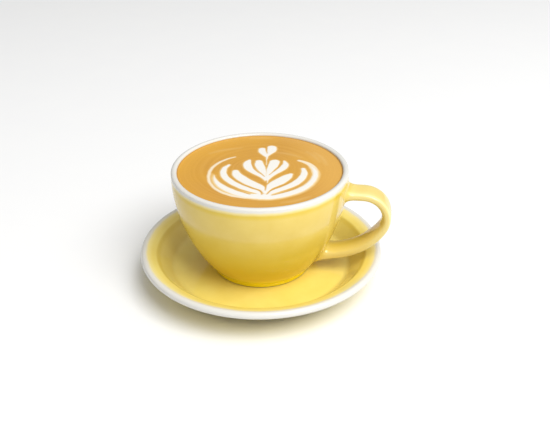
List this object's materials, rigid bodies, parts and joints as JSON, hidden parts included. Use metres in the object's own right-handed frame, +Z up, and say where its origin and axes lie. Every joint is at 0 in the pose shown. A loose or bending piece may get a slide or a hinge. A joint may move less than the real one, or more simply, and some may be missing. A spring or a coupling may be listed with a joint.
{
  "type": "latte in a cup and saucer",
  "caption": "Wide glazed cup with a strap handle on its saucer, filled to the brim with latte.",
  "frame": {"origin": "on the cup's axis, in the plane that the saucer's foot ring stands on", "axes": "+Z up; +X from the axis towards the handle"},
  "size_m": [0.1595, 0.155, 0.0768],
  "materials": {
    "cup_glaze": "yellow glaze over white stoneware, white at the lip and inside",
    "saucer_glaze": "yellow glaze over white stoneware, white at the edge",
    "latte": "smooth milk crema with a poured white rosette"
  },
  "bodies": {
    "root": {"cup": "cup_glaze", "saucer": "saucer_glaze", "latte": "latte"}
  },
  "joints": []
}
